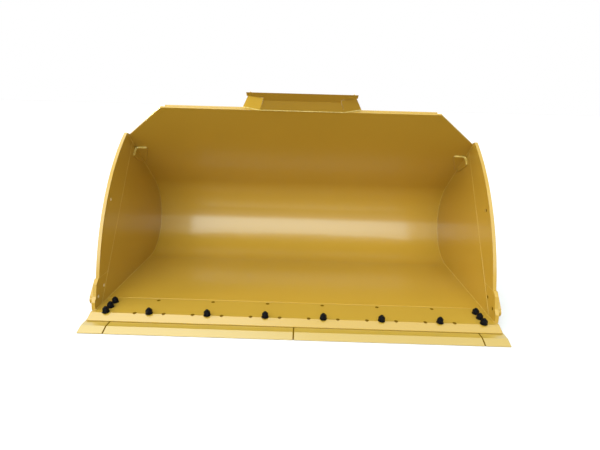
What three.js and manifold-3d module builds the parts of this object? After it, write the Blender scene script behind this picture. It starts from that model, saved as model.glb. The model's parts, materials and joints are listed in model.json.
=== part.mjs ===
// Wheel-loader style digging bucket with a bolt-on cutting edge, corner bits and spill guard.
//
// Lengths are millimetres. X runs across the bucket, -Y is the open mouth and +Z is up.
// The pieces are drawn in an edge frame, whose Y = 0 is the front row of edge bolts and whose
// Z = 0 is the floor inside the bucket. The exported group then moves that frame so that the
// origin is the centre of the underside of the whole bucket.

import * as THREE from "three";
import { mergeVertices } from "three/addons/utils/BufferGeometryUtils.js";
import Module from "manifold-3d";

const wasm = await Module();
wasm.setup();

// ---------------------------------------------------------------- driving dimensions

const gap = 0.3; // clearance between two pieces that meet
const rootGap = 1; // clearance between two curved faces that meet, both drawn in chords
const arcSteps = 12; // ExtrudeGeometry draws twice this many chords along an arc
const through = 400; // length of a cutter that passes right through a piece

const insideHalf = 1405; // half of the clear width between the side plates
const shellThick = 14;
const heelY = 1048; // where the flat floor turns into the heel arc
const heelRadius = 403;
const backLean = THREE.MathUtils.degToRad(42.8); // slope of the upper back above the horizontal
const backLength = 997; // straight upper back, from the end of the arc to the top edge

const baseEdgeThick = 35;
const baseEdgeRear = 225;
const baseEdgeHalf = 1425;
const baseEdgeNose = 9;
const baseEdgeRelief = 5; // chamfer under the nose
const baseEdgeBevel = [-7, -70]; // where the bevel starts on top, and the nose

const bitThick = 28; // bolt-on cutting edge and corner bits
const bitBevel = [-122, -180];
const bitNose = 6;
const bitRelief = 2;
const cuttingEdgeRear = 110;
const endBitRear = 220;
const endBitInner = 1266;
const bitJoint = 9; // open joint between two neighbouring edge pieces
const endBitOuter = 1437;

const boltPitch = 406.4;
const mainBoltX = [0.5, 1.5, 2.5].map((n) => n * boltPitch);
const cornerBoltX = 1320;
const cornerBoltY = [0, 72, 144];
const spareHoleOffset = boltPitch / 4;
const rearSpareY = 192;
const boltRadius = 12.7;
const boltHeadRadius = 24;
const boltHeadDepth = 17;
const boltProud = 43; // height of a bolt's end above the floor
const nutFlangeRadius = 25;
const nutFlangeThick = 5;
const nutAcrossFlats = 41;
const nutHeight = 30;

const sidePlateThick = 16;
const sideBarThick = 25;
const sideLap = 6; // how far the side plate stands past the outside of the shell
const barFront = { y: 1826, z: -291, radius: 1771 }; // arc of the side bar's front edge
const barTopZ = 1168;
const barHeelY = 116; // the side bar's straight rear edge meets the floor here
const barSlope = THREE.MathUtils.degToRad(54);
const toeTopZ = 198; // the side bar stands on the corner toe at this height
const toeFront = [[20, 0], [26, 54], [52, 88], [78, 170], [112, toeTopZ]];
const sideHoleRadius = 13;
const barHole = [430, 705];
const toeHoles = [[180, 117], [86, 75]];

const cornerCut = { inner: 1040, sideBottom: 654 }; // sloping top corners of the back
const topBar = { half: 1010, height: 100, thick: 14 };

const gusset = { start: 502, across: 100, out: 87, down: 200, foot: 22, bulge: [59, 92], plate: 10 };

const guard = {
  lean: THREE.MathUtils.degToRad(52),
  rise: 88,
  lipLean: THREE.MathUtils.degToRad(35),
  lip: 91,
  plate: 12,
  offset: 10, // how far its middle stands to the right of the bucket's
  footHalf: 312,
  neck: [275, 30], // half width, and distance up the lip, where the plate is narrowest
  lipHalf: 394,
  lipEnd: 50, // distance up the lip where its full width starts
  wingPlate: 10,
  wingFoot: 440,
  wingTop: 376,
};

const runner = { width: 220, from: 245, to: 1040, nose: 60, at: [-900, 0, 900] };

const stiffener = { from: 500, to: 720, shrink: 40, depth: 100, plate: 10, half: 1250 };

const earThick = 40;
const bush = { outer: 58, inner: 45, proud: 3 };
const liftEar = {
  pinY: 1555, pinZ: 290, boss: 86, startAngle: -75, backEnd: 150, shoulders: [30, 86], x: [495, 665],
};
const tiltEar = {
  pinY: 1432, pinZ: 782, boss: 78, startAngle: 5, backEnd: 420, shoulders: [12, 20], x: [60],
};

const bladeDepth = baseEdgeThick + bitThick; // from the floor to the ground
const rearY = liftEar.pinY + liftEar.boss;
const middleY = (bitBevel[1] + rearY) / 2;

// ---------------------------------------------------------------- solids

// A manifold solid from a closed three.js geometry.
function solidOf(geometry) {
  const bare = geometry.clone();
  bare.deleteAttribute("normal");
  bare.deleteAttribute("uv");
  const merged = mergeVertices(bare, 1e-4);
  return new wasm.Manifold(
    new wasm.Mesh({
      numProp: 3,
      vertProperties: new Float32Array(merged.attributes.position.array),
      triVerts: new Uint32Array(merged.index.array),
    }),
  );
}

function geometryOf(solid) {
  const mesh = solid.getMesh();
  const geometry = new THREE.BufferGeometry();
  geometry.setAttribute("position", new THREE.BufferAttribute(new Float32Array(mesh.vertProperties), 3));
  geometry.setIndex(new THREE.BufferAttribute(new Uint32Array(mesh.triVerts), 1));
  geometry.computeVertexNormals();
  return geometry;
}

// A (Y, Z) outline, with holes as [y, z, radius], made solid from one X to another.
function acrossX(outline, x0, x1, holes = []) {
  const shape = outline instanceof THREE.Shape ? outline : new THREE.Shape(outline);
  for (const [y, z, radius] of holes) {
    const hole = new THREE.Path();
    hole.absarc(y, z, radius, 0, 2 * Math.PI, true);
    shape.holes.push(hole);
  }
  const low = Math.min(x0, x1);
  const high = Math.max(x0, x1);
  const geometry = new THREE.ExtrudeGeometry(shape, {
    depth: high - low,
    bevelEnabled: false,
    curveSegments: arcSteps,
  });
  const yAxis = new THREE.Vector3(0, 1, 0);
  const zAxis = new THREE.Vector3(0, 0, 1);
  const xAxis = new THREE.Vector3(1, 0, 0);
  geometry.applyMatrix4(new THREE.Matrix4().makeBasis(yAxis, zAxis, xAxis));
  geometry.translate(low, 0, 0);
  return geometry;
}

// An (X, Z) outline made solid along Y, through the whole bucket.
function alongY(outline) {
  const geometry = new THREE.ExtrudeGeometry(new THREE.Shape(outline), {
    depth: 2 * rearY,
    bevelEnabled: false,
  });
  geometry.rotateX(Math.PI / 2);
  geometry.translate(0, rearY, 0);
  return geometry;
}

// A closed mesh from corners and faces, turned right side out if need be.
function closedMesh(corners, faces) {
  const triangles = faces.flatMap((face) =>
    face.slice(2).map((last, i) => [face[0], face[i + 1], last]),
  );
  let volume = 0;
  for (const [a, b, c] of triangles) {
    volume += corners[a].dot(new THREE.Vector3().crossVectors(corners[b], corners[c]));
  }
  if (volume < 0) {
    triangles.forEach((triangle) => triangle.reverse());
  }
  const geometry = new THREE.BufferGeometry();
  geometry.setFromPoints(corners);
  geometry.setIndex(triangles.flat());
  return geometry;
}

// A flat plate: a convex outline in space, thickened along a vector.
function plate(outline, offset) {
  const n = outline.length;
  const corners = [...outline, ...outline.map((corner) => corner.clone().add(offset))];
  const bottom = outline.map((_, i) => n - 1 - i);
  const top = outline.map((_, i) => n + i);
  const sides = outline.map((_, i) => [i, (i + 1) % n, n + ((i + 1) % n), n + i]);
  return closedMesh(corners, [bottom, top, ...sides]);
}

// A turned piece about Z from [radius, height] pairs, listed from bottom to top.
function turned(profile, segments) {
  const points = profile.map(([radius, height]) => new THREE.Vector2(radius, height));
  return new THREE.LatheGeometry(points, segments).rotateX(Math.PI / 2);
}

function holeCutter(radius, x, y) {
  const cutter = turned([[0, -through], [radius, -through], [radius, through], [0, through]], 12);
  return solidOf(cutter.translate(x, y, 0));
}

function cutAll(geometry, cutters) {
  return geometryOf(cutters.reduce((solid, cutter) => solid.subtract(cutter), solidOf(geometry)));
}

// ---------------------------------------------------------------- the shell's line

const arcEnd = Math.PI / 2 - backLean; // angle about the arc's centre where the back begins
const backDirection = new THREE.Vector2(-Math.cos(backLean), Math.sin(backLean));
const backNormal = new THREE.Vector2(Math.sin(backLean), Math.cos(backLean)); // points out of the bucket
const backStart = new THREE.Vector2(heelY, heelRadius).addScaledVector(backNormal, heelRadius);

// A (Y, Z) point on the upper back: s along it from the arc, lift out from its inner face.
function back(s, lift) {
  return backStart.clone().addScaledVector(backDirection, s).addScaledVector(backNormal, lift);
}

function backAt(x, s, lift) {
  const point = back(s, lift);
  return new THREE.Vector3(x, point.x, point.y);
}

// The shell's line in (Y, Z), a given distance outside its inner face.
function shellLine(offset, startAngle, backTo) {
  const line = new THREE.Path();
  line.absarc(heelY, heelRadius, heelRadius + offset, startAngle, arcEnd, false);
  return [...line.getPoints(arcSteps), back(backTo, offset)];
}

const heelAngle = -Math.PI / 2;

function shellSection() {
  const front = baseEdgeRear + gap;
  const outside = [new THREE.Vector2(front, -shellThick), ...shellLine(shellThick, heelAngle, backLength)];
  const inside = [new THREE.Vector2(front, 0), ...shellLine(0, heelAngle, backLength)];
  return [...outside, ...inside.reverse()];
}

// ---------------------------------------------------------------- materials and group

const paint = { color: 0xd2a034, roughness: 0.38, metalness: 0.1 };
const blackFinish = { color: 0x16161a, roughness: 0.5, metalness: 0.6 };
const bareSteel = { color: 0x8f9196, roughness: 0.35, metalness: 0.9 };

const bucket = new THREE.Group();

function addPiece(name, geometry, finish) {
  const mesh = new THREE.Mesh(geometry, new THREE.MeshStandardMaterial(finish));
  mesh.name = name;
  bucket.add(mesh);
  return mesh;
}

const sides = [["left", -1], ["right", 1]];

// ---------------------------------------------------------------- shell and its stiffening

function cornerCutter(sign) {
  const slope = (backLength - cornerCut.sideBottom) / (insideHalf - cornerCut.inner);
  const past = 110;
  const outline = [
    backAt(sign * (cornerCut.inner - past), backLength + past * slope, -through / 4),
    backAt(sign * (insideHalf + past), cornerCut.sideBottom - past * slope, -through / 4),
    backAt(sign * (insideHalf + 2 * past), backLength + past * slope, -through / 4),
  ];
  const normal = new THREE.Vector3(0, backNormal.x, backNormal.y);
  return solidOf(plate(outline, normal.multiplyScalar(through)));
}

function addShell() {
  const half = insideHalf - gap;
  const blank = acrossX(shellSection(), -half, half);
  addPiece("wrapper", cutAll(blank, [cornerCutter(-1), cornerCutter(1)]), paint);

  const inner = shellThick + gap;
  const outer = shellThick + topBar.thick;
  const low = backLength - topBar.height;
  const section = [back(low, inner), back(low, outer), back(backLength, outer), back(backLength, inner)];
  addPiece("top_edge_bar", acrossX(section.reverse(), -topBar.half, topBar.half), paint);
}

function addStiffener() {
  const foot = shellThick + gap;
  const crown = shellThick + stiffener.depth;
  const { from, to, shrink, plate: thick } = stiffener;
  const outside = [
    back(from, foot),
    back(from + shrink, crown),
    back(to - shrink, crown),
    back(to, foot),
  ];
  const inside = [
    back(to - thick, foot),
    back(to - shrink - thick * 0.8, crown - thick),
    back(from + shrink + thick * 0.8, crown - thick),
    back(from + thick, foot),
  ];
  const section = [...outside, ...inside].reverse();
  addPiece("rear_stiffener", acrossX(section, -stiffener.half, stiffener.half), paint);
}

// Bent plates in the top corners, each lying on the back and on the side plate.
function addCornerGussets() {
  for (const [side, sign] of sides) {
    const corner = backAt(sign * (insideHalf - gap), gusset.start, -gap);
    const across = new THREE.Vector3(-sign, 0, 0);
    const out = new THREE.Vector3(0, -backNormal.x, -backNormal.y);
    const down = new THREE.Vector3(0, -backDirection.x, -backDirection.y);
    const at = (a, b, c) =>
      corner.clone().addScaledVector(across, a).addScaledVector(out, b).addScaledVector(down, c);
    const [bulgeOut, bulgeDown] = gusset.bulge;
    const { foot, down: length } = gusset;
    const onBack = [at(0, 0, 0), at(gusset.across, 0, 0), at(foot, 0, length), at(0, 0, length)];
    const onSide = [
      at(0, 0, 0),
      at(0, gusset.out, 0),
      at(0, bulgeOut, bulgeDown),
      at(0, foot, length),
      at(0, 0, length),
    ];
    const backLeg = plate(onBack, out.clone().multiplyScalar(gusset.plate));
    const sideLeg = plate(onSide, across.clone().multiplyScalar(gusset.plate));
    const bent = geometryOf(solidOf(backLeg).add(solidOf(sideLeg)));
    addPiece(`corner_gusset_${side}`, bent, paint);
  }
}

// ---------------------------------------------------------------- sides

const barDirection = new THREE.Vector2(Math.cos(barSlope), Math.sin(barSlope));

// A (Y, Z) point on the straight joint between the side bar and the side plate.
function barRear(z, setback) {
  return new THREE.Vector2(barHeelY + setback + z / Math.tan(barSlope), z);
}

// Where that joint leaves the side, past the outside of the shell.
function barRearTop(setback) {
  const foot = barRear(0, setback);
  const lift = shellThick + sideLap;
  const target = back(0, lift).dot(backNormal);
  const share = (target - foot.dot(backNormal)) / barDirection.dot(backNormal);
  return foot.clone().addScaledVector(barDirection, share);
}

function barFrontAngle(z) {
  return Math.PI - Math.asin((z - barFront.z) / barFront.radius);
}

function sideBarShape() {
  const topCorner = back(cornerCut.sideBottom, shellThick + sideLap);
  const shape = new THREE.Shape();
  const low = barRear(toeTopZ, 0);
  const high = barRearTop(0);
  shape.moveTo(low.x, low.y);
  shape.lineTo(high.x, high.y);
  shape.lineTo(topCorner.x, topCorner.y);
  shape.absarc(
    barFront.y, barFront.z, barFront.radius, barFrontAngle(barTopZ), barFrontAngle(toeTopZ), false,
  );
  return shape;
}

function toeOutline() {
  const rear = [barRear(gap, 0), barRear(toeTopZ - gap, 0)];
  const inGap = (z) => THREE.MathUtils.clamp(z, gap, toeTopZ - gap);
  const front = toeFront.map(([y, z]) => new THREE.Vector2(y, inGap(z)));
  return [...rear, ...front.reverse()];
}

function sidePlateOutline() {
  const lap = shellThick + sideLap;
  const rearOfEdge = baseEdgeRear + gap;
  const rim = shellLine(lap, heelAngle, 0);
  return [
    barRear(gap, gap),
    new THREE.Vector2(rearOfEdge, gap),
    new THREE.Vector2(rearOfEdge, -lap),
    ...rim,
    barRearTop(gap),
  ];
}

// Bolted plate that shields the outside of the lower corner.
function cornerGuardShape() {
  const shape = new THREE.Shape();
  shape.moveTo(250, 30);
  shape.lineTo(250, 130);
  shape.lineTo(200, 178);
  shape.lineTo(150, 178);
  shape.lineTo(60, 84);
  shape.absarc(84, 54, 34, 2.4, 4.6, false);
  return shape;
}

function addSides() {
  for (const [side, sign] of sides) {
    const inner = sign * insideHalf;
    const barOuter = sign * (insideHalf + sideBarThick);
    const plateOuter = sign * (insideHalf + sidePlateThick);
    const guardInner = sign * (insideHalf + sideBarThick + gap);
    const guardOuter = sign * (insideHalf + 2 * sideBarThick);
    const holes = toeHoles.map(([y, z]) => [y, z, sideHoleRadius]);
    addPiece(`side_plate_${side}`, acrossX(sidePlateOutline(), inner, plateOuter), paint);
    const bar = acrossX(sideBarShape(), inner, barOuter, [[...barHole, sideHoleRadius]]);
    addPiece(`side_bar_${side}`, bar, paint);
    addPiece(`corner_toe_${side}`, acrossX(toeOutline(), inner, barOuter, holes), paint);
    addPiece(`corner_guard_${side}`, acrossX(cornerGuardShape(), guardInner, guardOuter, holes), paint);
  }
}

// ---------------------------------------------------------------- spill guard

const guardFoot = back(backLength, 0);
const guardDirection = new THREE.Vector2(-Math.cos(guard.lean), Math.sin(guard.lean));
const lipDirection = new THREE.Vector2(-Math.cos(guard.lipLean), Math.sin(guard.lipLean));
const guardBend = guardFoot.clone().addScaledVector(guardDirection, guard.rise);
const lipEdge = guardBend.clone().addScaledVector(lipDirection, guard.lip);

// Everything at or below the top edge, which the guard's pieces must stay clear of.
function topEdgeCutter() {
  const low = backLength - 2 * topBar.height;
  const section = [back(low, -80), back(low, 80), back(backLength + gap, 80), back(backLength + gap, -80)];
  return solidOf(acrossX(section.reverse(), -insideHalf, insideHalf));
}

// The bent guard plate with its lip, grown all round by a margin.
function guardPlate(margin) {
  const thick = guard.plate + margin;
  const behind = (direction) => new THREE.Vector2(direction.y, -direction.x);
  const mitre = behind(guardDirection).add(behind(lipDirection)).normalize();
  const mitreLength = 1 / mitre.dot(behind(lipDirection));
  const ends = [
    [guardFoot.clone().addScaledVector(guardDirection, -topBar.thick), behind(guardDirection), 1],
    [guardBend, mitre, mitreLength],
    [lipEdge.clone().addScaledVector(lipDirection, margin), behind(lipDirection), 1],
  ];
  const front = ends.map(([point, out, scale]) => point.clone().addScaledVector(out, -margin * scale));
  const rear = ends.map(([point, out, scale]) => point.clone().addScaledVector(out, thick * scale));
  const reach = guard.lipHalf + guard.footHalf;
  const bent = solidOf(acrossX([...front, ...rear.reverse()].reverse(), -reach, reach));
  const [neckHalf, neckRise] = guard.neck;
  const half = [
    [guard.footHalf + margin, guardFoot.y],
    [neckHalf + margin, guardBend.y + neckRise * lipDirection.y - margin],
    [guard.lipHalf + margin, guardBend.y + guard.lipEnd * lipDirection.y - margin],
    [guard.lipHalf + margin, lipEdge.y + margin],
  ];
  const below = [guard.footHalf + margin, guardFoot.y - 2 * topBar.thick];
  const right = [below, ...half].map(([x, z]) => new THREE.Vector2(x, z));
  const left = right.map((point) => new THREE.Vector2(-point.x, point.y)).reverse();
  return bent.intersect(solidOf(alongY([...right, ...left])));
}

function wing(sign) {
  const backEdge = back(backLength, shellThick + topBar.thick);
  const foot = new THREE.Vector3(sign * guard.footHalf, guardFoot.x, guardFoot.y);
  const [neckHalf, neckRise] = guard.neck;
  const neck = guardBend.clone().addScaledVector(lipDirection, neckRise);
  const fold = new THREE.Vector3(sign * neckHalf, neck.x, neck.y);
  const tail = new THREE.Vector3(sign * guard.wingFoot, backEdge.x, backEdge.y);
  const out = new THREE.Vector3().crossVectors(tail.clone().sub(foot), fold.clone().sub(foot));
  out.normalize().multiplyScalar(out.y > 0 ? 1 : -1);

  // The upper outer corner lies level with the lip's edge, in the wing's own plane.
  const cornerX = sign * guard.wingTop;
  const cornerZ = lipEdge.y;
  const cornerY = foot.y - (out.x * (cornerX - foot.x) + out.z * (cornerZ - foot.z)) / out.y;
  const corner = new THREE.Vector3(cornerX, cornerY, cornerZ);
  return solidOf(plate([foot, tail, corner, fold], out.multiplyScalar(guard.wingPlate)));
}

function addSpillGuard() {
  const topEdge = topEdgeCutter();
  const plateShape = geometryOf(guardPlate(0).subtract(topEdge));
  addPiece("spill_guard_plate", plateShape, paint).position.x = guard.offset;
  const keepOut = guardPlate(gap);
  for (const [side, sign] of sides) {
    const wingShape = geometryOf(wing(sign).subtract(topEdge).subtract(keepOut));
    addPiece(`spill_guard_wing_${side}`, wingShape, paint).position.x = guard.offset;
  }
}

// ---------------------------------------------------------------- edges, bolts and nuts

// The side view of an edge piece, with its bevel, its nose and a relief chamfer under the nose.
function bladeSection(top, thick, bevel, nose, rear, relief) {
  const bottom = top - thick;
  const corners = [
    [rear, top],
    [bevel[0], top],
    [bevel[1], bottom + nose],
    [bevel[1], bottom + relief],
    [bevel[1] + relief, bottom],
    [rear, bottom],
  ];
  return corners.map(([y, z]) => new THREE.Vector2(y, z));
}

// Where every bolt goes: the main rows first, then the corners, from left to right.
const boltPlaces = [
  ...[...mainBoltX.map((x) => -x).reverse(), ...mainBoltX].map((x) => [x, 0]),
  ...cornerBoltY.map((y) => [-cornerBoltX, y]),
  ...cornerBoltY.map((y) => [cornerBoltX, y]),
];

const mainPlaces = boltPlaces.slice(0, 2 * mainBoltX.length);
const sparePlaces = mainPlaces.flatMap(([x]) => [
  [x - spareHoleOffset, 0],
  [x + spareHoleOffset, 0],
  [x, rearSpareY],
]);

function boltProfile(margin) {
  const bottom = -bladeDepth;
  return [
    [0, bottom - margin],
    [boltHeadRadius + margin, bottom - margin],
    [boltRadius + margin, bottom + boltHeadDepth],
    [boltRadius + margin, boltProud - 3],
    [boltRadius - 3 + margin, boltProud],
    [0, boltProud],
  ];
}

function addBaseEdge() {
  const section = bladeSection(
    0, baseEdgeThick, baseEdgeBevel, baseEdgeNose, baseEdgeRear, baseEdgeRelief,
  );
  const blank = acrossX(section, -baseEdgeHalf, baseEdgeHalf);
  const holes = [...boltPlaces, ...sparePlaces].map(([x, y]) => holeCutter(boltRadius + 1.3, x, y));
  addPiece("base_edge", cutAll(blank, holes), paint);
}

function addEdgePiece(name, x0, x1, rear) {
  const section = bladeSection(-baseEdgeThick - gap, bitThick - gap, bitBevel, bitNose, rear, bitRelief);
  const low = Math.min(x0, x1);
  const high = Math.max(x0, x1);
  const cutters = boltPlaces
    .filter(([x]) => x > low && x < high)
    .map(([x, y]) => solidOf(turned(boltProfile(gap), 12).translate(x, y, 0)));
  addPiece(name, cutAll(acrossX(section, low, high), cutters), paint);
}

function addCuttingEdges() {
  for (const [side, sign] of sides) {
    addEdgePiece(
      `cutting_edge_${side}`, (sign * bitJoint) / 2, sign * (endBitInner - bitJoint / 2), cuttingEdgeRear,
    );
    addEdgePiece(`end_bit_${side}`, sign * (endBitInner + bitJoint / 2), sign * endBitOuter, endBitRear);
  }
}

// Hexagon nut with a round flange, standing on the floor.
function nutGeometry() {
  const hex = turned(
    [[0, nutFlangeThick / 2], [nutAcrossFlats / Math.sqrt(3), nutFlangeThick / 2],
      [nutAcrossFlats / Math.sqrt(3), nutHeight - 3], [nutAcrossFlats / 2, nutHeight], [0, nutHeight]],
    6,
  );
  const flange = turned(
    [[0, gap], [nutFlangeRadius, gap], [nutFlangeRadius, nutFlangeThick], [0, nutFlangeThick]],
    16,
  );
  return geometryOf(solidOf(hex).add(solidOf(flange)).subtract(holeCutter(boltRadius + gap, 0, 0)));
}

function addFasteners() {
  const nut = nutGeometry();
  const bolt = turned(boltProfile(0), 12);
  boltPlaces.forEach(([x, y], index) => {
    const number = String(index + 1).padStart(2, "0");
    addPiece(`plow_bolt_${number}`, bolt, blackFinish).position.set(x, y, 0);
    addPiece(`flange_nut_${number}`, nut, blackFinish).position.set(x, y, 0);
  });
}

// ---------------------------------------------------------------- underside and hinges

function addRunners() {
  const top = -shellThick - gap;
  const bottom = -bladeDepth;
  const { from, to, nose } = runner;
  const section = [
    new THREE.Vector2(from, top),
    new THREE.Vector2(from, top - 12),
    new THREE.Vector2(from + nose, bottom),
    new THREE.Vector2(to - nose, bottom),
    new THREE.Vector2(to, top - 12),
    new THREE.Vector2(to, top),
  ];
  runner.at.forEach((x, index) => {
    const geometry = acrossX(section, x - runner.width / 2, x + runner.width / 2);
    addPiece(`floor_runner_${index + 1}`, geometry, paint);
  });
}

// A hinge ear: its front follows the outside of the shell, a shoulder stands out from each end
// of that line, and its tail rounds the pin.
function earShape(ear) {
  const foot = shellThick + rootGap;
  const startAngle = THREE.MathUtils.degToRad(ear.startAngle);
  const rim = shellLine(foot, startAngle, ear.backEnd);
  const startNormal = new THREE.Vector2(Math.cos(startAngle), Math.sin(startAngle));
  const lowShoulder = rim[0].clone().addScaledVector(startNormal, ear.shoulders[0]);
  const highShoulder = back(ear.backEnd, foot + ear.shoulders[1]);
  const pin = new THREE.Vector2(ear.pinY, ear.pinZ);
  const tangentAngle = (from, turn) => {
    const away = from.clone().sub(pin);
    return Math.atan2(away.y, away.x) + turn * Math.acos(ear.boss / away.length());
  };
  const shape = new THREE.Shape();
  shape.absarc(
    ear.pinY, ear.pinZ, ear.boss, tangentAngle(lowShoulder, 1), tangentAngle(highShoulder, -1), false,
  );
  for (const point of [highShoulder, ...rim.reverse(), lowShoulder]) {
    shape.lineTo(point.x, point.y);
  }
  return shape;
}

function bushGeometry(ear) {
  const half = earThick / 2 + bush.proud;
  const { inner, outer } = bush;
  const profile = [[inner, -half], [outer, -half], [outer, half], [inner, half], [inner, -half]];
  const points = profile.map(([radius, height]) => new THREE.Vector2(radius, height));
  const ring = new THREE.LatheGeometry(points, 20).rotateZ(-Math.PI / 2);
  return ring.translate(0, ear.pinY, ear.pinZ);
}

function addHinges() {
  const pairs = [["lift", liftEar], ["tilt", tiltEar]];
  for (const [use, ear] of pairs) {
    const ring = bushGeometry(ear);
    for (const [side, sign] of sides) {
      ear.x.forEach((x, index) => {
        const place = ear.x.length > 1 ? `${side}_${["inner", "outer"][index]}` : side;
        const bore = [[ear.pinY, ear.pinZ, bush.outer + rootGap]];
        const body = acrossX(earShape(ear), sign * x, sign * (x + earThick), bore);
        addPiece(`${use}_ear_${place}`, body, paint);
        const centre = sign * (x + earThick / 2);
        addPiece(`${use}_bush_${place}`, ring, bareSteel).position.set(centre, 0, 0);
      });
    }
  }
}

// ---------------------------------------------------------------- the bucket

addShell();
addStiffener();
addCornerGussets();
addSides();
addSpillGuard();
addBaseEdge();
addCuttingEdges();
addFasteners();
addRunners();
addHinges();
bucket.position.set(0, -middleY, bladeDepth);

export default bucket;
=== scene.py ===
"""The looks of a loader bucket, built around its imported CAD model. Lengths are metres."""

import json
import math
import random

import bpy
from mathutils import Matrix, Vector, noise


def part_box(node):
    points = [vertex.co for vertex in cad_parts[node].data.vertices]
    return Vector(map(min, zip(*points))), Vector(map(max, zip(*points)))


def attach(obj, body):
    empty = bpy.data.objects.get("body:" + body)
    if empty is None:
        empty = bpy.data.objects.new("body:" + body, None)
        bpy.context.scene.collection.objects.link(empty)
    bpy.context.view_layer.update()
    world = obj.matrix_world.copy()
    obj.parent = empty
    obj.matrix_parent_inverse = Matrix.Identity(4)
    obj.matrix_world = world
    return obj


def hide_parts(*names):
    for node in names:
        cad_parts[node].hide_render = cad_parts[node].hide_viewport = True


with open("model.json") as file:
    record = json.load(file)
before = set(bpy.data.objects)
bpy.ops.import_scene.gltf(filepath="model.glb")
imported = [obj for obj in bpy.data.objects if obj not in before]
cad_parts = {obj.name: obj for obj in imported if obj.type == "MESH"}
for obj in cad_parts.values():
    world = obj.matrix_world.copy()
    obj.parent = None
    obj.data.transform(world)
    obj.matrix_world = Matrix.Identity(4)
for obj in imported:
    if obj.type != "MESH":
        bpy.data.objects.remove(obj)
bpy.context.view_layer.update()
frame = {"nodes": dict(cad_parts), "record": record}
nodes = frame["nodes"]
SIDES = (("left", -1), ("right", 1))

# ---------------------------------------------------------------- sizes that the CAD model has

first_nut_low, first_nut_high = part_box("flange_nut_01")
base_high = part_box("base_edge")[1]
ROW_Y = (first_nut_low.y + first_nut_high.y) / 2  # the front row of bolts
FLOOR_Z = base_high.z
SEAM_Y = base_high.y - ROW_Y
INNER_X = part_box("side_plate_right")[0].x
SHELL = 0.014  # thickness of the rolled plate
HEEL_Y = 1.048  # centre of the rolled heel, behind the bolt row
HEEL_RADIUS = 0.403  # of its inner face, so its centre is this far above the floor
BACK_LEAN = math.radians(42.8)
BACK_LENGTH = 0.997
CORNER_CUT = 0.654  # along the back, where its sloping corner meets the side
CORNER_TOP = 1.040  # half width of the back at its top edge
GUARD_FOOT = 0.312  # half width of the spill guard at its foot
GUARD_TAIL = 0.440  # half width over its wings' rear ends
BAR_HEEL_Y = 0.116  # the straight joint between side bar and side plate starts here, on the floor
BAR_SLOPE = math.radians(54)
BAR_TOP_Z = 1.087  # where that joint meets the back
TOE_TOP_Z = 0.198  # the side bars stand on the toes at this height
CAD_GAP = 0.0003  # clearance between two CAD pieces that meet


def place(x, y, z):
    """A point given across, behind the bolt row and above the floor, in the row frame."""
    return Vector((x, y + ROW_Y, z + FLOOR_Z))


# ---------------------------------------------------------------- the shell's line

BACK_UP = Vector((-math.cos(BACK_LEAN), math.sin(BACK_LEAN)))
BACK_OUT = Vector((math.sin(BACK_LEAN), math.cos(BACK_LEAN)))
BACK_START = Vector((HEEL_Y, HEEL_RADIUS)) + BACK_OUT * HEEL_RADIUS
ARC_START = -math.pi / 2
ARC_END = math.pi / 2 - BACK_LEAN
ARC_STEPS = 48


def back(s, lift):
    """(y, z) on the leaning back: s up from the heel, lift out from its inner face."""
    return BACK_START + BACK_UP * s + BACK_OUT * lift


def heel(angle, lift):
    """(y, z) on the heel arc, at an angle about its centre."""
    reach = HEEL_RADIUS + lift
    return Vector((HEEL_Y + reach * math.cos(angle), HEEL_RADIUS + reach * math.sin(angle)))


def shell_line(lift, start_angle, back_to):
    """The shell's line from an angle on the heel up to a length along the back."""
    span = ARC_END - start_angle
    arc = [heel(start_angle + span * i / ARC_STEPS, lift) for i in range(ARC_STEPS + 1)]
    return arc + [back(back_to, lift)]


def at_x(x, line):
    """A line of (y, z) points, placed in the plane at x."""
    return [place(x, y, z) for y, z in line]


def across(point, start, end):
    """A straight line across the bucket through a (y, z) point, from one x to another."""
    return [place(x, *point) for x in (start, end)]


# ---------------------------------------------------------------- node-material helpers

RANGE_INPUTS = ("From Min", "From Max", "To Min", "To Max")
MIX_A, MIX_B, MIX_RESULT = 6, 7, 2  # places of a Mix node's colour sockets


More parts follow.
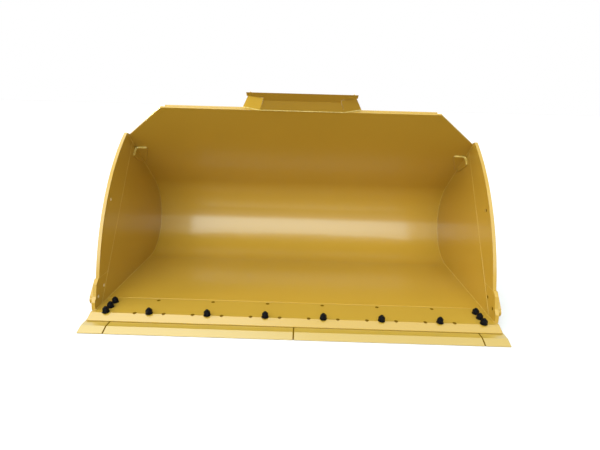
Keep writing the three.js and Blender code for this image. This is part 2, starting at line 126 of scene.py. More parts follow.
class Nodes:
    """Short names for building a material's node tree."""

    def __init__(self, name):
        self.material = bpy.data.materials.new(name)
        self.material.use_nodes = True
        self.tree = self.material.node_tree
        self.shader = self.tree.nodes["Principled BSDF"]
        self.coords = self.add("ShaderNodeTexCoord").outputs["Object"]

    def add(self, kind, **settings):
        node = self.tree.nodes.new(kind)
        for key, value in settings.items():
            setattr(node, key, value)
        return node

    def link(self, source, target):
        self.tree.links.new(source, target)

    def noise(self, scale, detail=2.0, stretch=None):
        node = self.add("ShaderNodeTexNoise")
        node.inputs["Scale"].default_value = scale
        node.inputs["Detail"].default_value = detail
        coords = self.coords
        if stretch:
            mapping = self.add("ShaderNodeMapping")
            mapping.inputs["Scale"].default_value = stretch
            self.link(coords, mapping.inputs["Vector"])
            coords = mapping.outputs["Vector"]
        self.link(coords, node.inputs["Vector"])
        return node.outputs["Fac"]

    def remap(self, value, low, high, to_low, to_high):
        node = self.add("ShaderNodeMapRange")
        self.link(value, node.inputs["Value"])
        for name, number in zip(RANGE_INPUTS, (low, high, to_low, to_high)):
            node.inputs[name].default_value = number
        return node.outputs["Result"]

    def blend(self, factor, low, high):
        """Mixes two colours, each a colour or another node's output."""
        node = self.add("ShaderNodeMix", data_type="RGBA")
        self.link(factor, node.inputs["Factor"])
        for index, colour in ((MIX_A, low), (MIX_B, high)):
            socket = node.inputs[index]
            if isinstance(colour, bpy.types.NodeSocket):
                self.link(colour, socket)
            else:
                socket.default_value = (*colour, 1.0)
        return node.outputs[MIX_RESULT]

    def bump(self, height, strength, distance):
        node = self.add("ShaderNodeBump")
        node.inputs["Strength"].default_value = strength
        node.inputs["Distance"].default_value = distance
        self.link(height, node.inputs["Height"])
        self.link(node.outputs["Normal"], self.shader.inputs["Normal"])

    def colour(self, source):
        self.link(source, self.shader.inputs["Base Color"])

    def rough(self, source):
        self.link(source, self.shader.inputs["Roughness"])

    def set(self, **values):
        for name, value in values.items():
            self.shader.inputs[name.replace("_", " ")].default_value = value


def paint_material(name, main, deep, bright, roughness, specular):
    """Sprayed enamel: a faint drift of tone, small flecks, and orange peel under the gloss."""
    n = Nodes(name)
    drift = n.remap(n.noise(0.9, 2.0), 0.2, 0.8, 0.0, 1.0)
    fleck = n.remap(n.noise(160.0, 3.0), 0.62, 0.85, 0.0, 0.3)
    n.colour(n.blend(fleck, n.blend(drift, deep, main), bright))
    n.rough(n.remap(n.noise(2.3, 3.0), 0.2, 0.8, roughness - 0.03, roughness + 0.03))
    n.set(Metallic=0.0, Specular_IOR_Level=specular)
    n.set(Coat_Weight=1.0, Coat_Roughness=0.15, Coat_IOR=1.4)
    n.bump(n.noise(420.0, 2.0), 0.05, 0.0003)
    return n.material


def weld_material(name, main, shade):
    """The enamel over a weld bead, mottled, with a main colour lighter than the plates' as painted
    highlight on the bead.
    """
    n = Nodes(name)
    mottle = n.remap(n.noise(55.0, 3.0), 0.35, 0.65, 0.0, 1.0)
    n.colour(n.blend(mottle, shade, main))
    n.rough(n.remap(n.noise(30.0, 2.0), 0.3, 0.7, 0.3, 0.45))
    n.set(Metallic=0.0, Coat_Weight=0.3, Coat_Roughness=0.2)
    n.bump(n.noise(260.0, 3.0), 0.3, 0.0012)
    return n.material


def fastener_material():
    """Black phosphated steel, greyer where it has worn."""
    n = Nodes("black_phosphate")
    worn = n.remap(n.noise(95.0, 4.0), 0.6, 0.78, 0.0, 0.5)
    n.colour(n.blend(worn, (0.003, 0.003, 0.004), (0.02, 0.02, 0.024)))
    n.rough(n.remap(n.noise(60.0, 3.0), 0.3, 0.7, 0.3, 0.5))
    n.set(Metallic=0.0, Specular_IOR_Level=0.08)
    n.bump(n.noise(520.0, 3.0), 0.25, 0.0008)
    return n.material


def painted_light_material(name, dark, light):
    """Matt colour with dust in it, for the discs and strips that paint shade or highlight into holes
    and joints.
    """
    n = Nodes(name)
    dust = n.remap(n.noise(140.0, 3.0), 0.4, 0.7, 0.0, 1.0)
    n.colour(n.blend(dust, dark, light))
    n.set(Roughness=0.9, Specular_IOR_Level=0.0)
    n.bump(n.noise(300.0, 2.0), 0.3, 0.001)
    return n.material


def steel_material():
    """Bare steel with fine streaks across it."""
    n = Nodes("turned_steel")
    marks = n.noise(900.0, 2.0, stretch=(1.0, 0.05, 0.05))
    n.colour(n.blend(marks, (0.30, 0.30, 0.31), (0.52, 0.53, 0.55)))
    n.rough(n.remap(n.noise(40.0, 3.0), 0.3, 0.7, 0.22, 0.4))
    n.set(Metallic=1.0)
    n.bump(marks, 0.2, 0.0004)
    return n.material


yellow = paint_material(
    "yellow_enamel", (0.455, 0.265, 0.028), (0.43, 0.247, 0.025), (0.50, 0.31, 0.04), 0.32, 0.12
)
base_yellow = paint_material(
    "base_enamel", (0.445, 0.268, 0.031), (0.42, 0.25, 0.028), (0.485, 0.31, 0.041), 0.3, 0.45
)
edge_yellow = paint_material(
    "edge_enamel", (0.43, 0.275, 0.038), (0.405, 0.257, 0.034), (0.475, 0.31, 0.05), 0.3, 0.6
)
# painted highlight: the beads' yellow is lighter than the plates', as if they caught the light
lit_weld_yellow = weld_material("weld_enamel", (0.60, 0.42, 0.07), (0.42, 0.28, 0.04))
# painted highlight: the inside seams' yellow is lighter than the plates', as if the beads caught the
# light
lit_seam_yellow = weld_material("seam_enamel", (0.50, 0.315, 0.045), (0.44, 0.27, 0.035))
black = fastener_material()
# painted shade: dark browns for the spare holes, the edge joints and the right side holes; painted
# highlight: cream for the left side holes
shade_brown_paint = painted_light_material("shade_brown_paint", (0.11, 0.055, 0.003), (0.17, 0.09, 0.007))
deep_shade_paint = painted_light_material("deep_shade_paint", (0.10, 0.05, 0.001), (0.15, 0.08, 0.002))
highlight_cream_paint = painted_light_material("highlight_cream_paint", (0.80, 0.68, 0.42), (0.92, 0.82, 0.56))
steel = steel_material()

PLATE_MATERIALS = {"yellow_paint": yellow, "edge_paint": edge_yellow}

# ---------------------------------------------------------------- CAD plates, with broken edges

FASTENER_NODES = [n for n in nodes if n.startswith(("flange_nut", "plow_bolt"))]
BUSH_NODES = [n for n in nodes if "bush" in n]
MERGE_REACH = 0.00002
FLAT_ANGLE = math.radians(0.5)
EDGE_ANGLE = math.radians(16)  # sharper edges than this get a bevel
PLATE_BEVEL = 0.0015
END_BIT_BEVEL = 0.004


def break_edges(obj, width):
    """Bevels the sharp edges, and keeps the flats between them flat."""
    bevel = obj.modifiers.new("edges", "BEVEL")
    bevel.width = width
    bevel.segments = 3
    bevel.limit_method = "ANGLE"
    bevel.angle_limit = EDGE_ANGLE
    normals = obj.modifiers.new("normals", "WEIGHTED_NORMAL")
    normals.mode = "FACE_AREA"
    normals.weight = 60


def finish_plate(node, material, width):
    """A CAD plate keeps its shape and gets its paint and a small bevel on its edges."""
    obj = nodes[node]
    mesh = obj.data
    for attribute in ("custom_normal", "sharp_face", "sharp_edge"):
        if attribute in mesh.attributes:
            mesh.attributes.remove(mesh.attributes[attribute])
    mesh.polygons.foreach_set("use_smooth", [True] * len(mesh.polygons))
    mesh.materials.clear()
    mesh.materials.append(material)
    merge = obj.modifiers.new("merge", "WELD")
    merge.merge_threshold = MERGE_REACH
    flat = obj.modifiers.new("flatten", "DECIMATE")
    flat.decimate_type = "DISSOLVE"
    flat.angle_limit = FLAT_ANGLE
    break_edges(obj, width)


def finish_plates():
    slots = {part["node"]: part["material_slot"] for part in frame["record"]["subparts"]}
    for name in nodes:
        if name in FASTENER_NODES or name in BUSH_NODES or name == "wrapper":
            continue
        width = END_BIT_BEVEL if name.startswith("end_bit") else PLATE_BEVEL
        material = base_yellow if name == "base_edge" else PLATE_MATERIALS[slots[name]]
        finish_plate(name, material, width)


finish_plates()

# ---------------------------------------------------------------- new pieces


def new_mesh(name, verts, faces, material, smooth=True, crisp=None):
    """A mesh of one material. Edges sharper than the crisp angle, in degrees, aren't shaded smooth."""
    mesh = bpy.data.meshes.new(name)
    mesh.from_pydata(verts, [], faces)
    mesh.validate()
    mesh.polygons.foreach_set("use_smooth", [smooth] * len(mesh.polygons))
    if crisp is not None:
        mesh.set_sharp_from_angle(angle=math.radians(crisp))
    mesh.materials.append(material)
    return mesh


def add_piece(name, mesh, location=(0, 0, 0), rotation=(0, 0, 0)):
    obj = bpy.data.objects.new(name, mesh)
    bpy.context.scene.collection.objects.link(obj)
    obj.location = location
    obj.rotation_euler = rotation
    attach(obj, "root")
    return obj


def merged(parts):
    """The vertices and faces of several parts, each (vertices, faces), in one list of each."""
    verts, faces = [], []
    for part_verts, part_faces in parts:
        start = len(verts)
        verts.extend(part_verts)
        faces.extend(tuple(start + i for i in face) for face in part_faces)
    return verts, faces


def band_faces(low, high, count):
    """Faces between two rings of a count of vertices, each ring given by its first vertex."""
    return [
        (low + i, low + (i + 1) % count, high + (i + 1) % count, high + i) for i in range(count)
    ]


def turned(profile, segments):
    """Vertices and faces of a shape turned about Z from (radius, height) pairs, bottom to top.
    A zero radius makes a pole."""
    verts, faces, rings = [], [], []
    for radius, height in profile:
        if radius == 0:
            rings.append([len(verts)])
            verts.append((0, 0, height))
            continue
        rings.append(list(range(len(verts), len(verts) + segments)))
        for i in range(segments):
            angle = 2 * math.pi * i / segments
            verts.append((radius * math.cos(angle), radius * math.sin(angle), height))
    for low, high in zip(rings, rings[1:]):
        for i in range(max(len(low), len(high))):
            j = (i + 1) % segments
            if len(low) == 1:
                faces.append((low[0], high[j], high[i]))
            elif len(high) == 1:
                faces.append((low[i], low[j], high[0]))
            else:
                faces.append((low[i], low[j], high[j], high[i]))
    return verts, faces


# ---------------------------------------------------------------- the shell, finely rolled

ROLL_STEPS = 96


def shell_half(s):
    """Half width of the shell at a length along the back, narrowing over its sloping corners."""
    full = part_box("wrapper")[1].x
    share = max(0.0, (s - CORNER_CUT) / (BACK_LENGTH - CORNER_CUT))
    return full + (CORNER_TOP - full) * share


def add_shell():
    front = SEAM_Y + CAD_GAP
    stations = [(Vector((front, 0.0)), Vector((front, -SHELL)), 0.0)]
    for i in range(ROLL_STEPS + 1):
        angle = ARC_START + (ARC_END - ARC_START) * i / ROLL_STEPS
        stations.append((heel(angle, 0.0), heel(angle, SHELL), 0.0))
    for s in (CORNER_CUT, BACK_LENGTH):
        stations.append((back(s, 0.0), back(s, SHELL), s))
    verts = []
    for inner, outer, s in stations:
        half = shell_half(s)
        verts += across(inner, -half, half) + across(outer, half, -half)
    faces = [(3, 2, 1, 0), tuple(len(verts) - 4 + i for i in range(4))]
    for low in range(0, len(verts) - 4, 4):
        faces += band_faces(low, low + 4, 4)
    shell = add_piece("rolled_shell", new_mesh("rolled_shell", verts, faces, yellow))
    break_edges(shell, PLATE_BEVEL)
    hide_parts("wrapper")


add_shell()

# ---------------------------------------------------------------- weld beads

WELD_STEP = 0.003
WELD_RIPPLE = 0.0065
WELD_SIDES = 8
WELD_END = 0.0008  # from the first ring of a bead's dome to its tip
RIPPLE_SHARE = 0.06  # of the bead's radius
WANDER_SHARE = 0.12
WANDER_RATE = 28  # noise cells per metre
SEED_SPREAD = 7.3
FLOOR_BEAD = 0.0048  # radii of the beads
SEAM_BEAD = 0.0045
TOE_BEAD = 0.0038
PLATE_BEAD = 0.006
EAR_BEAD = 0.0075
GUSSET_BEAD = 0.0095
WING_BEAD = 0.005
SEAM_DROP = 0.0032  # the floor seam's centre, below the floor
BAR_BEAD_INSIDE = 0.0030  # centres of the beads on the bars' joints, out from the inner face
BAR_BEAD_OUTSIDE = 0.0140
EAR_BEAD_LIFT = 0.0005  # centre of the ears' beads, off the shell's outer face
SIDE_START_Y = 0.024  # where the seam along the base edge starts
TOE_FRONT_Y = 0.112  # front end of the toes' top
LAP_START = 0.01  # the shell's outer bead starts this far behind the base edge
TOP_BAR_HEIGHT = 0.100
STIFFENER_FEET = (0.500, 0.720)  # along the back
EAR_WELDS = (  # from an angle on the heel to a length along the back
    ("lift", math.radians(-75), 0.150),
    ("tilt", math.radians(5), 0.420),
)
GUSSET_TOP = 0.502  # along the back
GUSSET_BACK = 0.100  # reach of a gusset's top along the back
GUSSET_SIDE = 0.087  # and along the side
GUSSET_BEND = (0.059, 0.092)  # forward and below: the bend in its outer edge on the side
GUSSET_FOOT = (0.022, 0.200)  # outward and below
TOP_BEAD_GAP = 0.006  # centre of the bead over its top, from the wall
TOP_BEAD_TURN = 0.030  # where that bead leaves each wall to round the corner
TOP_BEAD_CORNER = 0.012
EDGE_BEAD_GAP = 0.004  # centres of the beads down its outer edges, from the wall


def resample(points, step):
    """Points a step apart along a polyline, with its ends."""
    lengths = [(b - a).length for a, b in zip(points, points[1:])]
    total = sum(lengths)
    count = max(2, round(total / step))
    result, index, walked = [], 0, 0.0
    for k in range(count + 1):
        target = total * k / count
        while index < len(lengths) - 1 and walked + lengths[index] < target:
            walked += lengths[index]
            index += 1
        share = (target - walked) / lengths[index] if lengths[index] else 0.0
        result.append(points[index].lerp(points[index + 1], min(1.0, share)))
    return result


def bead(points, radius, seed):
    """A weld bead along a polyline: a round bar with ripples, a slight wander and domed ends."""
    path = resample(points, WELD_STEP)
    last = len(path) - 1
    verts, faces = [], []
    tangent = (path[1] - path[0]).normalized()
    side = tangent.orthogonal().normalized()
    for k, point in enumerate(path):
        tangent = (path[min(k + 1, last)] - path[max(k - 1, 0)]).normalized()
        side = (side - tangent * side.dot(tangent)).normalized()
        other = tangent.cross(side)
        walked = k * WELD_STEP
        wander = noise.noise(Vector((walked * WANDER_RATE, seed * SEED_SPREAD, 0.0)))
        ripple = math.cos(2 * math.pi * walked / WELD_RIPPLE)
        end = min(k, last - k) * WELD_STEP
        dome = math.sqrt(min(1.0, (end + WELD_END) / radius)) if end < radius else 1.0
        r = radius * dome * (1 + RIPPLE_SHARE * ripple + WANDER_SHARE * wander)
        for i in range(WELD_SIDES):
            angle = 2 * math.pi * i / WELD_SIDES
            verts.append(point + side * (r * math.cos(angle)) + other * (r * math.sin(angle)))
    for k in range(last):
        faces += band_faces(k * WELD_SIDES, (k + 1) * WELD_SIDES, WELD_SIDES)
    faces.append(tuple(range(WELD_SIDES))[::-1])
    faces.append(tuple(last * WELD_SIDES + i for i in range(WELD_SIDES)))
    return verts, faces


def add_welds(name, seams, material):
    """One piece from several beads, each (points, radius)."""
    beads = [
        bead(points, radius, number + len(name)) for number, (points, radius) in enumerate(seams)
    ]
    add_piece(name, new_mesh(name, *merged(beads), material))


def bar_joint(z):
    """y on the straight joint between a side bar and its side plate."""
    return BAR_HEEL_Y + z / math.tan(BAR_SLOPE)


def weld_seams():
    """Beads on the inside: across the floor, along the side plates, and on the bars and toes."""
    corner_line = [(SEAM_Y, 0.0)] + shell_line(0.0, ARC_START, CORNER_CUT)
    floor_seam = across((SEAM_Y, -SEAM_DROP), -INNER_X, INNER_X)
    add_welds("weld_floor_seam", [(floor_seam, FLOOR_BEAD)], yellow)
    bar_line = [(bar_joint(z), z) for z in (0.0, BAR_TOP_Z)]
    edge_line = [(SIDE_START_Y, 0.0), (SEAM_Y, 0.0)]
    toe_line = [(y, TOE_TOP_Z) for y in (TOE_FRONT_Y, bar_joint(TOE_TOP_Z))]
    for side, sign in SIDES:
        inner = sign * INNER_X
        sunk = sign * (INNER_X + BAR_BEAD_INSIDE)
        seams = [
            (at_x(inner, corner_line), SEAM_BEAD),
            (at_x(sunk, bar_line), SEAM_BEAD),
            (at_x(inner, edge_line), SEAM_BEAD),
            (at_x(sunk, toe_line), TOE_BEAD),
        ]
        add_welds(f"weld_inside_{side}", seams, lit_seam_yellow)


def gusset_line(sign, points):
    """Points by a corner gusset, each (in from the side, forward from the back, below its top)."""
    line = []
    for inward, forward, below in points:
        yz = back(GUSSET_TOP, 0.0) - BACK_OUT * forward - BACK_UP * below
        line.append(place(sign * (INNER_X - CAD_GAP - inward), yz.x, yz.y))
    return line


def gusset_welds():
    """A heavy bead over the top of each corner gusset, light ones down its two outer edges."""
    bend, bend_below = GUSSET_BEND
    foot, foot_below = GUSSET_FOOT
    over = (
        (GUSSET_BACK, TOP_BEAD_GAP, 0.0),
        (TOP_BEAD_TURN, TOP_BEAD_GAP, 0.0),
        (TOP_BEAD_CORNER, TOP_BEAD_CORNER, 0.0),
        (TOP_BEAD_GAP, TOP_BEAD_TURN, 0.0),
        (TOP_BEAD_GAP, GUSSET_SIDE, 0.0),
    )
    on_back = ((GUSSET_BACK, EDGE_BEAD_GAP, 0.0), (foot, EDGE_BEAD_GAP, foot_below))
    on_side = (
        (EDGE_BEAD_GAP, GUSSET_SIDE, 0.0),
        (EDGE_BEAD_GAP, bend, bend_below),
        (EDGE_BEAD_GAP, foot, foot_below),
    )
    for side, sign in SIDES:
        edges = [(gusset_line(sign, points), PLATE_BEAD) for points in (on_back, on_side)]
        add_welds(f"weld_gusset_{side}", [(gusset_line(sign, over), GUSSET_BEAD)], lit_weld_yellow)
        add_welds(f"weld_gusset_{side}_edges", edges, yellow)


def ear_welds():
    for use, start_angle, back_to in EAR_WELDS:
        for node in [n for n in nodes if n.startswith(f"{use}_ear")]:
            low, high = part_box(node)
            line = shell_line(SHELL + EAR_BEAD_LIFT, start_angle, back_to)
            seams = [(at_x(x, line), EAR_BEAD) for x in (low.x, high.x)]
            add_welds(f"weld_{node}", seams, lit_weld_yellow)


def rear_welds():
    """Beads behind: on the stiffener and the top bar, the shell's ends and the bars' joints."""
    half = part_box("rear_stiffener")[1].x
    seams = [(across(back(s, SHELL), -half, half), PLATE_BEAD) for s in STIFFENER_FEET]
    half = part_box("top_edge_bar")[1].x
    bar_foot = back(BACK_LENGTH - TOP_BAR_HEIGHT, SHELL)
    seams.append((across(bar_foot, -half, half), PLATE_BEAD))
    add_welds("weld_rear", seams, lit_weld_yellow)
    lap = [(SEAM_Y + LAP_START, -SHELL)] + shell_line(SHELL, ARC_START, CORNER_CUT)
    joint = [(bar_joint(z), z) for z in (TOE_TOP_Z, BAR_TOP_Z)]
    for side, sign in SIDES:
        seams = [
            (at_x(sign * INNER_X, lap), PLATE_BEAD),
            (at_x(sign * (INNER_X + BAR_BEAD_OUTSIDE), joint), PLATE_BEAD),
        ]
        add_welds(f"weld_outside_{side}", seams, lit_weld_yellow)


def runner_welds():
    for number in (1, 2, 3):
        low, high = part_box(f"floor_runner_{number}")
        ring = ((low.x, low.y), (high.x, low.y), (high.x, high.y), (low.x, high.y))
        corners = [Vector((x, y, high.z)) for x, y in ring]
        loop = corners + corners[:1]
        seams = [([a, b], PLATE_BEAD) for a, b in zip(loop, loop[1:])]
        add_welds(f"weld_runner_{number}", seams, lit_weld_yellow)


def guard_welds():
    low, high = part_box("spill_guard_plate")
    middle = (low.x + high.x) / 2
    foot = back(BACK_LENGTH, 0.0)
    tail = back(BACK_LENGTH, 2 * SHELL)
    seams = [(across(foot, middle - GUARD_FOOT, middle + GUARD_FOOT), SEAM_BEAD)]
    for _, sign in SIDES:
        inner = place(middle + sign * GUARD_FOOT, *foot)
        outer = place(middle + sign * GUARD_TAIL, *tail)
        seams.append(([inner, outer], WING_BEAD))
    add_welds("weld_guard", seams, lit_weld_yellow)


weld_seams()
gusset_welds()
ear_welds()
rear_welds()
runner_welds()
guard_welds()

# ---------------------------------------------------------------- bolts and nuts

BOLT_COUNT = 12
BOLT_RADIUS = 0.0127
BOLT_SIDES = 32
HEAD_RADIUS = 0.0240
HEAD_RIM = 0.0015
HEAD_DEPTH = 0.017
THREAD_START = 0.004
THREAD_RUNOUT = 0.004
THREAD_PITCH = 0.0032
THREAD_FORM = ((0.3, 0.0018), (0.8, 0.0002))  # root and crest: along a pitch, below the surface
THREAD_LAND = 0.0004
BOLT_END = ((0.0010, 0.0035), (0.0036, 0.0006), (0.0045, 0.0))  # in from the side, down from the end
NUT_FLATS = 0.041
NUT_TOP = 0.030
NUT_SIDES = 72
NUT_LEVELS = 7
NUT_BEARING = 0.97  # the flat ring at a nut's ends, as a share of its width across flats
NUT_CHAMFER = 1.75  # outward per length along the nut
NUT_MOUTH = 0.0018
WASHER_RADIUS = 0.0252
WASHER_SIDES = 48
WASHER_THICK = 0.0045
WASHER_LIFT = 0.0003
WASHER_EDGE_LOW = 0.0008
WASHER_EDGE_TOP = 0.0009
CRISP_BOLT = 28  # degrees


def washer_part():
    rim = WASHER_RADIUS
    profile = [
        (BOLT_RADIUS, WASHER_LIFT),
        (rim - WASHER_EDGE_LOW, WASHER_LIFT),
        (rim, WASHER_LIFT + WASHER_EDGE_LOW),
        (rim, WASHER_THICK - WASHER_EDGE_TOP),
        (rim - WASHER_EDGE_TOP, WASHER_THICK),
        (BOLT_RADIUS, WASHER_THICK),
        (BOLT_RADIUS, WASHER_LIFT),
    ]
    return turned(profile, WASHER_SIDES)


def hexagon_part():
    """A hexagon whose corners are turned off towards both ends, with the bore through it."""
    levels = [(WASHER_THICK, BOLT_RADIUS)]
    for k in range(NUT_LEVELS):
        height = WASHER_THICK + (NUT_TOP - WASHER_THICK) * (k / (NUT_LEVELS - 1))
        from_end = min(height - WASHER_THICK, NUT_TOP - height)
        limit = NUT_FLATS / 2 * NUT_BEARING + from_end * NUT_CHAMFER
        levels.append((height, min(limit, NUT_FLATS / math.sqrt(3))))
    levels += [(NUT_TOP, BOLT_RADIUS + NUT_MOUTH), (NUT_TOP - NUT_MOUTH, BOLT_RADIUS)]
    verts, faces = [], []
    for height, limit in levels:
        for i in range(NUT_SIDES):
            angle = 2 * math.pi * i / NUT_SIDES
            in_side = (angle % (math.pi / 3)) - math.pi / 6
            radius = min(NUT_FLATS / 2 / math.cos(in_side), limit)
            verts.append((radius * math.cos(angle), radius * math.sin(angle), height))
    for row in range(len(levels)):
        above = (row + 1) % len(levels)
        faces += band_faces(row * NUT_SIDES, above * NUT_SIDES, NUT_SIDES)
    return verts, faces


def nut_mesh():
    """Hexagon nut with chamfered corners on a round washer, its underside at zero."""
    return new_mesh("hex_nut", *merged([washer_part(), hexagon_part()]), black, crisp=CRISP_BOLT)


def bolt_mesh():
    """Plow bolt: flush countersunk head below the edge, and a threaded end above the nut."""
    low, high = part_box("plow_bolt_01")
    head, end = low.z - FLOOR_Z, high.z - FLOOR_Z
    profile = [
        (0, head),
        (HEAD_RADIUS - HEAD_RIM, head),
        (HEAD_RADIUS, head + HEAD_RIM),
        (BOLT_RADIUS, head + HEAD_DEPTH),
        (BOLT_RADIUS, THREAD_START),
    ]
    turns = int((end - THREAD_RUNOUT - THREAD_START) / THREAD_PITCH)
    for turn in range(turns):
        for share, depth in THREAD_FORM:
            z = THREAD_START + (turn + share) * THREAD_PITCH
            profile += [(BOLT_RADIUS - depth, z), (BOLT_RADIUS - depth, z + THREAD_LAND)]
    profile += [(BOLT_RADIUS - inward, end - down) for inward, down in BOLT_END] + [(0, end)]
    return new_mesh("plow_bolt", *turned(profile, BOLT_SIDES), black, crisp=CRISP_BOLT)


def add_fasteners():
    kinds = (("nut", nut_mesh(), "flange_nut"), ("bolt", bolt_mesh(), "plow_bolt"))
    dice = random.Random(11)
    for number in range(1, BOLT_COUNT + 1):
        low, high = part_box(f"flange_nut_{number:02d}")
        centre = (low + high) / 2
        for name, mesh, node in kinds:
            turn = (0, 0, dice.uniform(0, math.pi / 3))
            location = (centre.x, centre.y, FLOOR_Z)
            obj = add_piece(f"{name}_{number:02d}", mesh, location, turn)
            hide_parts(f"{node}_{number:02d}")


add_fasteners()

# ---------------------------------------------------------------- painted shade and highlight in the holes and joints

BOLT_PITCH = 0.4064
SPARE_ROW_Y = 0.192
SIDE_HOLES = ((0.430, 0.705), (0.180, 0.117), (0.086, 0.075))  # along and up, in the bars and toes
DISC_THICK = 0.002
DISC_SIDES = 32
SPARE_DISC_RADIUS = 0.0137
SPARE_DISC_DEPTH = 0.0018
SIDE_DISC_RADIUS = 0.0127
SIDE_DISC_DEPTH = 0.0055
FILLER_DEPTH = 0.0015
FILLER_GAP = 0.0005
FILLER_NOSE = (-0.176, -0.060)  # the fillers' outline in (y, z): its front end
FILLER_FRONT_Y = -0.122  # front of its flat top
FILLER_REAR_Y = 0.100
FILLER_FOOT = (-0.174, -0.0625)  # front of its flat bottom
EDGE_ROW = ("end_bit_left", "cutting_edge_left", "cutting_edge_right", "end_bit_right")


def add_discs(name, radius, centres, material, upright=False):
    """Thin discs as one piece, lying flat or facing across the bucket."""
    half = DISC_THICK / 2
    profile = [(0, -half), (radius, -half), (radius, half), (0, half)]
    verts, faces = turned(profile, DISC_SIDES)
    if upright:
        verts = [(z, x, y) for x, y, z in verts]
    discs = [([centre + Vector(v) for v in verts], faces) for centre in centres]
    add_piece(name, new_mesh(name, *merged(discs), material, smooth=False))


def add_spare_hole_shade():
    """Dark discs just below the floor in the spare holes, beside each main bolt and behind it: painted
    shade.
    """
    main = [sign * n * BOLT_PITCH for sign in (-1, 1) for n in (0.5, 1.5, 2.5)]
    beside = [(x + sign * BOLT_PITCH / 4, 0.0) for x in main for sign in (-1, 1)]
    spare = beside + [(x, SPARE_ROW_Y) for x in main]
    centres = [place(x, y, -SPARE_DISC_DEPTH) for x, y in spare]
    add_discs("spare_hole_painted_shade_discs", SPARE_DISC_RADIUS, centres, shade_brown_paint)


def add_side_hole_light_and_shade():
    """Discs just inside the holes of the bars and toes: painted highlight, pale, on the left and
    painted shade, dark, on the right.
    """
    for (side, sign), material in zip(SIDES, (highlight_cream_paint, deep_shade_paint)):
        x = sign * (INNER_X + SIDE_DISC_DEPTH)
        centres = at_x(x, SIDE_HOLES)
        add_discs(f"side_hole_painted_light_{side}", SIDE_DISC_RADIUS, centres, material, upright=True)


def add_joint_shade_strips():
    """Dark strips low in the joints between the bolt-on edges: painted shade in the gaps."""
    edges = [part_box(name) for name in EDGE_ROW]
    upper = edges[1][1].z - FLOOR_Z - FILLER_DEPTH
    top = [(FILLER_FRONT_Y, upper), (FILLER_REAR_Y, upper)]
    outline = [FILLER_NOSE, *top, (FILLER_REAR_Y, FILLER_FOOT[1]), FILLER_FOOT]
    count = len(outline)
    faces = [tuple(range(count)), tuple(count + i for i in reversed(range(count)))]
    for i in range(count):
        j = (i + 1) % count
        faces.append((j, i, count + i, count + j))
    strips = []
    for (_, before), (after, _) in zip(edges, edges[1:]):
        ends = (before.x + FILLER_GAP, after.x - FILLER_GAP)
        strips.append(([v for x in ends for v in at_x(x, outline)], faces))
    name = "edge_joint_painted_shade"
    add_piece(name, new_mesh(name, *merged(strips), deep_shade_paint, smooth=False))


add_spare_hole_shade()
add_side_hole_light_and_shade()
add_joint_shade_strips()

# ---------------------------------------------------------------- bushes

BUSH_PROUD = 0.0007
BUSH_WALL = 0.0137
BUSH_CHAMFER = 0.0016
BUSH_SIDES = 72
CRISP_BUSH = 25  # degrees


def add_bushes():
    for node in BUSH_NODES:
        low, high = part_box(node)
        half = (high.x - low.x) / 2
        outer = (high.z - low.z) / 2 + BUSH_PROUD
        inner = outer - BUSH_WALL
        cut = BUSH_CHAMFER
        profile = [
            (inner + cut, -half), (outer - cut, -half), (outer, cut - half),
            (outer, half - cut), (outer - cut, half), (inner + cut, half),
            (inner, half - cut), (inner, cut - half), (inner + cut, -half),
        ]
        name = f"{node}_ring"
        mesh = new_mesh(name, *turned(profile, BUSH_SIDES), steel, crisp=CRISP_BUSH)
        ring = add_piece(name, mesh, (low + high) / 2, (0, math.pi / 2, 0))
        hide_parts(node)


add_bushes()

# ---------------------------------------------------------------- studio

GROUND = 0.55  # strengths of the sky
HORIZON = 1.1
SKY_FRONT = 5.15
SKY_ABOVE_LEFT = 2.8
SKY_ABOVE_RIGHT = 1.8
SKY_LEFT = 1.5
SKY_RIGHT = 0.1
SKY_LOW = 0.1  # heights, as the sine of the elevation, where the horizon turns into the sky
SKY_HIGH = 0.26
SKY_TINT = (0.86, 0.96, 1.0)
WHITE = (1.0, 1.0, 1.0)
FLOOR_SIZE = 120
FLOOR_BACK = 20
KEY_POWER = 350
KEY_WARMTH = (1.0, 0.98, 0.95)
CARD_BLUE = (0.76, 0.94, 1.0)
SPOT_POWER = 3300
SPOT_BLUE = (0.85, 1.0, 1.0)
SPOT_REACH = 5.0
SPOT_ANGLE = math.radians(6.0)
LENS = 24.0
SENSOR = 36.0
CAMERA_X, CAMERA_Y, CAMERA_Z = 0.0433, -2.4779, 1.444  # solved from the photograph
CAMERA_PITCH, CAMERA_ROLL, CAMERA_YAW = 0.29896, 0.02761, -0.00814  # radians


def add_floor():
    """A pale floor under the bucket. Neither its gloss nor its bounced light sees it."""
    bpy.ops.mesh.primitive_plane_add(size=FLOOR_SIZE, location=(0, FLOOR_BACK, 0))
    floor = bpy.context.object
    floor.name = "studio_floor"
    floor.visible_glossy = False
    floor.visible_diffuse = False
    n = Nodes("studio_floor")
    n.colour(n.blend(n.noise(0.4, 2.0), (0.70, 0.665, 0.645), (0.73, 0.695, 0.675)))
    n.set(Roughness=0.9)
    floor.data.materials.append(n.material)


def aim(light, location, target):
    light.location = location
    light.rotation_euler = (Vector(target) - Vector(location)).to_track_quat("-Z", "Y").to_euler()


def add_light(name, location, target, size, power, colour):
    data = bpy.data.lights.new(name, "AREA")
    data.shape = "RECTANGLE"
    data.size, data.size_y = size
    data.energy = power
    data.color = colour
    light = bpy.data.objects.new(name, data)
    bpy.context.scene.collection.objects.link(light)
    light.visible_camera = False
    aim(light, location, target)
    return light


def ramp(tree, value, start, end):
    """A smooth step of a value, from (at, level) to (at, level); a level may be a node's output."""
    node = tree.nodes.new("ShaderNodeMapRange")
    node.interpolation_type = "SMOOTHSTEP"
    tree.links.new(value, node.inputs["Value"])
    for name, level in zip(RANGE_INPUTS, (start[0], end[0], start[1], end[1])):
        if isinstance(level, bpy.types.NodeSocket):
            tree.links.new(level, node.inputs[name])
        else:
            node.inputs[name].default_value = level
    return node.outputs["Result"]


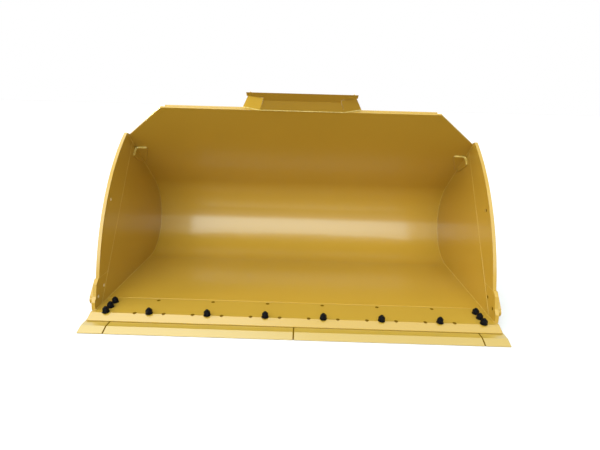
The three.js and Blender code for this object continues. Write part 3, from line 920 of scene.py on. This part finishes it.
def add_sky():
    """A plain white backdrop for the camera. Everything else sees a sky that is bluish above the
    horizon and brightest in front, dim on the left of that and dark on the right."""
    world = bpy.data.worlds.new("studio")
    bpy.context.scene.world = world
    world.use_nodes = True
    tree = world.node_tree
    direction = tree.nodes.new("ShaderNodeTexCoord").outputs["Generated"]
    split = tree.nodes.new("ShaderNodeSeparateXYZ")
    tree.links.new(direction, split.inputs["Vector"])
    across, back_to_front, up = split.outputs["X"], split.outputs["Y"], split.outputs["Z"]
    beside = ramp(tree, across, (-0.3, SKY_LEFT), (0.6, HORIZON))
    centre = ramp(tree, across, (0.0, SKY_FRONT), (0.6, SKY_RIGHT))
    ahead = ramp(tree, across, (-0.85, SKY_LEFT), (-0.3, centre))
    sky = ramp(tree, back_to_front, (-0.9, ahead), (-0.2, beside))
    slope = ramp(tree, up, (SKY_LOW, HORIZON), (SKY_HIGH, sky))
    overhead = ramp(tree, across, (-0.35, SKY_ABOVE_LEFT), (0.45, SKY_ABOVE_RIGHT))
    above = ramp(tree, up, (0.7, slope), (0.95, overhead))
    tint = tree.nodes.new("ShaderNodeMix")
    tint.data_type = "RGBA"
    tree.links.new(ramp(tree, up, (SKY_LOW, 0.0), (SKY_HIGH, 1.0)), tint.inputs["Factor"])
    tint.inputs[MIX_A].default_value = (*WHITE, 1.0)
    tint.inputs[MIX_B].default_value = (*SKY_TINT, 1.0)
    background = tree.nodes["Background"]
    tree.links.new(tint.outputs[MIX_RESULT], background.inputs["Color"])
    tree.links.new(ramp(tree, up, (-0.15, GROUND), (0.0, above)), background.inputs["Strength"])
    backdrop = tree.nodes.new("ShaderNodeBackground")
    backdrop.inputs["Color"].default_value = (*WHITE, 1.0)
    switch = tree.nodes.new("ShaderNodeMixShader")
    rays = tree.nodes.new("ShaderNodeLightPath")
    tree.links.new(rays.outputs["Is Camera Ray"], switch.inputs[0])
    tree.links.new(background.outputs[0], switch.inputs[1])
    tree.links.new(backdrop.outputs[0], switch.inputs[2])
    tree.links.new(switch.outputs[0], tree.nodes["World Output"].inputs["Surface"])


def add_lights():
    """The sky, a key from the left, two cards that only the gloss sees, and the guard's spot."""
    bpy.context.scene.view_settings.view_transform = "Standard"
    add_sky()
    add_light("key_left", (-9.0, -1.5, 4.0), (0, 0, 0.8), (3.5, 3.5), KEY_POWER, KEY_WARMTH)
    cards = (
        ("gloss_card_front", (0, -4.2, 4.3), (0, 0.9, 0.3), (9.0, 5.6), 440),
        ("gloss_card_above", (-2.5, 1.5, 6.0), (0, -0.8, 0.0), (6.0, 5.0), 90),
    )
    for name, location, target, size, power in cards:
        card = add_light(name, location, target, size, power, CARD_BLUE)
        card.visible_diffuse = False
    add_wing_spot()


def add_wing_spot():
    """A narrow spot from the left, level with the spill guard, that its left wing catches."""
    data = bpy.data.lights.new("wing_spot", "SPOT")
    data.energy = SPOT_POWER
    data.color = SPOT_BLUE
    data.spot_size = SPOT_ANGLE
    data.spot_blend = 0.4
    data.shadow_soft_size = 0.1
    spot = bpy.data.objects.new("wing_spot", data)
    bpy.context.scene.collection.objects.link(spot)
    low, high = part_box("spill_guard_wing_left")
    target = (low + high) / 2
    aim(spot, target - Vector((SPOT_REACH, 0.0, 0.0)), target)


def add_camera():
    """The photograph's viewpoint: a wide lens at head height, looking a little down."""
    data = bpy.data.cameras.new("camera")
    data.sensor_width = SENSOR
    data.lens = LENS
    camera = bpy.data.objects.new("camera", data)
    bpy.context.scene.collection.objects.link(camera)
    at = Matrix.Translation(place(CAMERA_X, CAMERA_Y, CAMERA_Z))
    turn = Matrix.Rotation(-CAMERA_YAW, 4, "Z") @ Matrix.Rotation(math.pi / 2 - CAMERA_PITCH, 4, "X")
    camera.matrix_world = at @ turn @ Matrix.Rotation(CAMERA_ROLL, 4, "Z")
    bpy.context.scene.camera = camera


add_floor()
add_lights()
add_camera()
